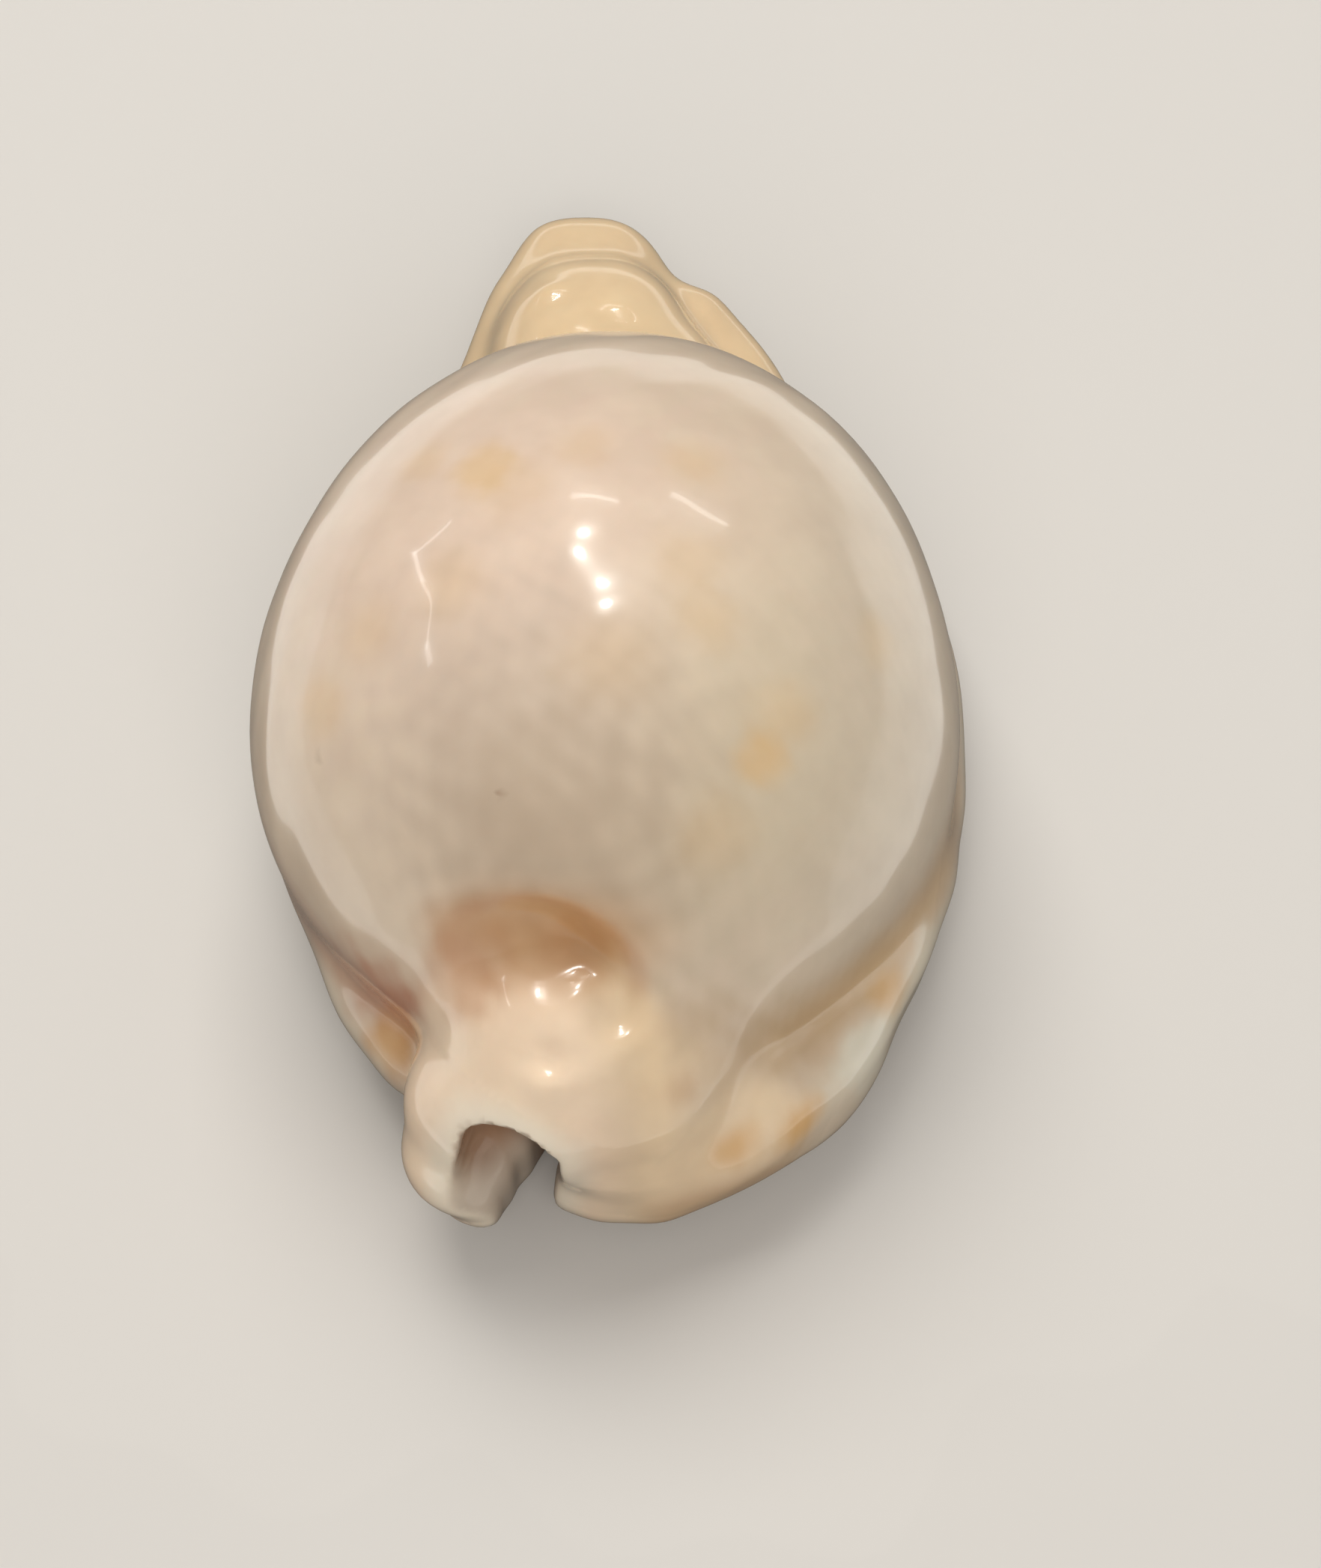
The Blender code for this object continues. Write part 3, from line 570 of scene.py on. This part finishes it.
# ---------------------------------------------------------------- floor
floor_mesh = bpy.data.meshes.new("floor")
floor_mesh.from_pydata([(-3, -3, -0.00005), (3, -3, -0.00005), (3, 3, -0.00005), (-3, 3, -0.00005)], [], [(0, 1, 2, 3)])
floor = bpy.data.objects.new("floor", floor_mesh)
bpy.context.scene.collection.objects.link(floor)
pale = bpy.data.materials.new("pale_floor")
pale.use_nodes = True
pale.node_tree.nodes["Principled BSDF"].inputs["Base Color"].default_value = (0.72, 0.70, 0.67, 1)
pale.node_tree.nodes["Principled BSDF"].inputs["Roughness"].default_value = 0.9
floor_mesh.materials.append(pale)

# a dark card laid round the shell, as a photographer would, to keep the floor's glare off its flanks:
# it is only met from above, by bounced and mirrored light, and the camera sees the plain floor
outline = [((48 if math.sin(a) > 0 else 46) * math.cos(a) / 1000, (116 if math.sin(a) > 0 else 62) * math.sin(a) / 1000, -0.00002)
           for a in np.linspace(0, 2 * np.pi, 64, endpoint=False)]
card_mesh = bpy.data.meshes.new("card")
card_mesh.from_pydata(outline, [], [tuple(range(64))])
card = bpy.data.objects.new("card", card_mesh)
bpy.context.scene.collection.objects.link(card)
dark = bpy.data.materials.new("dark_card")
dark.use_nodes = True
tree = dark.node_tree
tree.nodes["Principled BSDF"].inputs["Base Color"].default_value = (0.22, 0.20, 0.18, 1)
tree.nodes["Principled BSDF"].inputs["Roughness"].default_value = 0.9
side, clear, both = tree.nodes.new("ShaderNodeNewGeometry"), tree.nodes.new("ShaderNodeBsdfTransparent"), tree.nodes.new("ShaderNodeMixShader")
tree.links.new(side.outputs["Backfacing"], both.inputs["Fac"])
tree.links.new(tree.nodes["Principled BSDF"].outputs["BSDF"], both.inputs[1])
tree.links.new(clear.outputs["BSDF"], both.inputs[2])
tree.links.new(both.outputs["Shader"], tree.nodes["Material Output"].inputs["Surface"])
card_mesh.materials.append(dark)
card.visible_camera = card.visible_shadow = False


# a glowing pale sheet laid round the card, a painted reflection whose sheen runs round the flanks; only the gloss meets
# it
reach_at = [(-180, 0.06), (-135, 0.062), (-115, 0.085), (-90, 0.105), (-60, 0.16), (-30, 0.30), (0, 0.40), (40, 0.38), (70, 0.36), (100, 0.29), (120, 0.12), (135, 0.06), (180, 0.06)]
outline = []
for azimuth in np.linspace(-180, 180, 181)[:-1]:
    r = float(np.interp(azimuth, *zip(*reach_at))) * (1 + 0.05 * math.sin(math.radians(9 * azimuth)) + 0.035 * math.sin(math.radians(20 * azimuth) + 1))
    outline.append((r * math.sin(math.radians(azimuth)), r * math.cos(math.radians(azimuth)), -0.00003))
sheet_mesh = bpy.data.meshes.new("glowing_sheet")
sheet_mesh.from_pydata(outline, [], [tuple(range(len(outline)))[::-1]])
sheet = bpy.data.objects.new("glowing_sheet", sheet_mesh)
bpy.context.scene.collection.objects.link(sheet)
bright = bpy.data.materials.new("glowing_sheet")
bright.use_nodes = True
glow = bright.node_tree.nodes["Principled BSDF"]
glow.inputs["Base Color"].default_value = (0.8, 0.79, 0.77, 1)
glow.inputs["Emission Color"].default_value = (1, 0.99, 0.97, 1)
glow.inputs["Emission Strength"].default_value = 0.38
sheet_mesh.materials.append(bright)
sheet.visible_camera = sheet.visible_diffuse = sheet.visible_shadow = False


# ---------------------------------------------------------------- light
world = bpy.data.worlds.new("studio")
bpy.context.scene.world = world
world.use_nodes = True
world.node_tree.nodes["Background"].inputs["Color"].default_value = (0.80, 0.79, 0.77, 1)
world.node_tree.nodes["Background"].inputs["Strength"].default_value = 0.36


def lamp(name, azimuth, elevation, distance, width, height, watts, tone=(1, 0.97, 0.92), mirrored=True, lit=True):
    """A soft panel that faces the shell; azimuth is from +Y towards +X, in degrees."""
    a, e = math.radians(azimuth), math.radians(elevation)
    way = Vector((math.sin(a) * math.cos(e), math.cos(a) * math.cos(e), math.sin(e)))
    data = bpy.data.lights.new(name, "AREA")
    data.shape, data.size, data.size_y = "ELLIPSE" if width == height else "RECTANGLE", width, height
    data.energy, data.color = watts, tone
    obj = bpy.data.objects.new(name, data)
    obj.location = Vector((0, 0, 0.02)) + way * distance
    obj.rotation_euler = way.to_track_quat("Z", "Y").to_euler()
    obj.visible_glossy, obj.visible_diffuse = mirrored, lit
    bpy.context.scene.collection.objects.link(obj)
    return obj


lamp("overhead_panel", -14, 62, 1.0, 0.7, 0.6, 6.4, mirrored=False)
lamp("room_fill", 176, 46, 1.4, 1.2, 1.2, 7.6, (1, 0.95, 0.9), mirrored=False)
for number, (azimuth, elevation, width) in enumerate([(-7, 55, 0.055), (-12, 61.5, 0.055), (-5, 68, 0.05), (-2.4, 75, 0.055)]):
    lamp(f"bulb_{number}", azimuth, elevation, 1.0, width, width, 0.42, lit=False)


def streak(name, start, end, distance, thick, watts):
    """A thin tube between two directions from the shell, which only shows as a streak in the gloss."""
    ends = []
    for azimuth, elevation in (start, end):
        a, e = math.radians(azimuth), math.radians(elevation)
        ends.append(Vector((math.sin(a) * math.cos(e), math.cos(a) * math.cos(e), math.sin(e))) * distance)
    middle, along = (ends[0] + ends[1]) / 2, (ends[1] - ends[0]).normalized()
    out = middle.normalized()
    along = (along - out * along.dot(out)).normalized()
    data = bpy.data.lights.new(name, "AREA")
    data.shape, data.size, data.size_y = "RECTANGLE", (ends[1] - ends[0]).length, thick
    data.energy, data.color = watts, (1, 0.98, 0.95)
    obj = bpy.data.objects.new(name, data)
    obj.matrix_world = Matrix.Translation(Vector((0, 0, 0.02)) + middle) @ Matrix((along, out.cross(along), out)).transposed().to_4x4()
    obj.visible_diffuse = False
    bpy.context.scene.collection.objects.link(obj)


streak("tube_left_a", (-40, 25), (-51, 19), 1.2, 0.020, 0.10)
streak("tube_left_b", (-50, 18.5), (-59, 28), 1.2, 0.030, 0.16)
streak("tube_left_c", (-58, 27), (-80, 34), 1.2, 0.016, 0.14)
streak("tube_left_d", (-77, 33), (-86, 37), 1.2, 0.045, 0.14)
streak("window_a", (-10, 41.5), (7, 43.5), 1.4, 0.030, 0.26)
streak("window_b", (20, 41.5), (37, 38), 1.4, 0.030, 0.26)

# ---------------------------------------------------------------- camera
ELEVATION, DISTANCE, PIXELS_PER_MM = 62.0, 235.0, 19.7
TARGET, TARGET_PIXEL = Vector((0.0, -8.0, 18.0)), (811.0, 962.0)
WIDTH, HEIGHT = 1764, 2094
e = math.radians(ELEVATION)
back = Vector((0, -math.cos(e), math.sin(e)))
focal = PIXELS_PER_MM * DISTANCE
camera_data = bpy.data.cameras.new("camera")
camera_data.sensor_fit, camera_data.sensor_height, camera_data.sensor_width = "VERTICAL", 36.0, 36.0
camera_data.lens = 36.0 * focal / HEIGHT
camera_data.clip_start, camera_data.clip_end = 0.01, 20
camera = bpy.data.objects.new("camera", camera_data)
turn = Matrix(((1, 0, 0), (0, back.z, back.y), (0, -back.y, back.z))).to_4x4()
turn = back.to_track_quat("Z", "Y").to_matrix().to_4x4()
swing = Matrix.Rotation(math.atan((TARGET_PIXEL[0] - WIDTH / 2) / focal), 4, "Y") @ Matrix.Rotation(math.atan((TARGET_PIXEL[1] - HEIGHT / 2) / focal), 4, "X")
place = (TARGET + back * DISTANCE - Vector((MIDDLE[0], MIDDLE[1], 0))) * MM
camera.matrix_world = Matrix.Translation(place) @ turn @ swing
bpy.context.scene.collection.objects.link(camera)
bpy.context.scene.camera = camera
bpy.context.scene.view_settings.view_transform = "Standard"
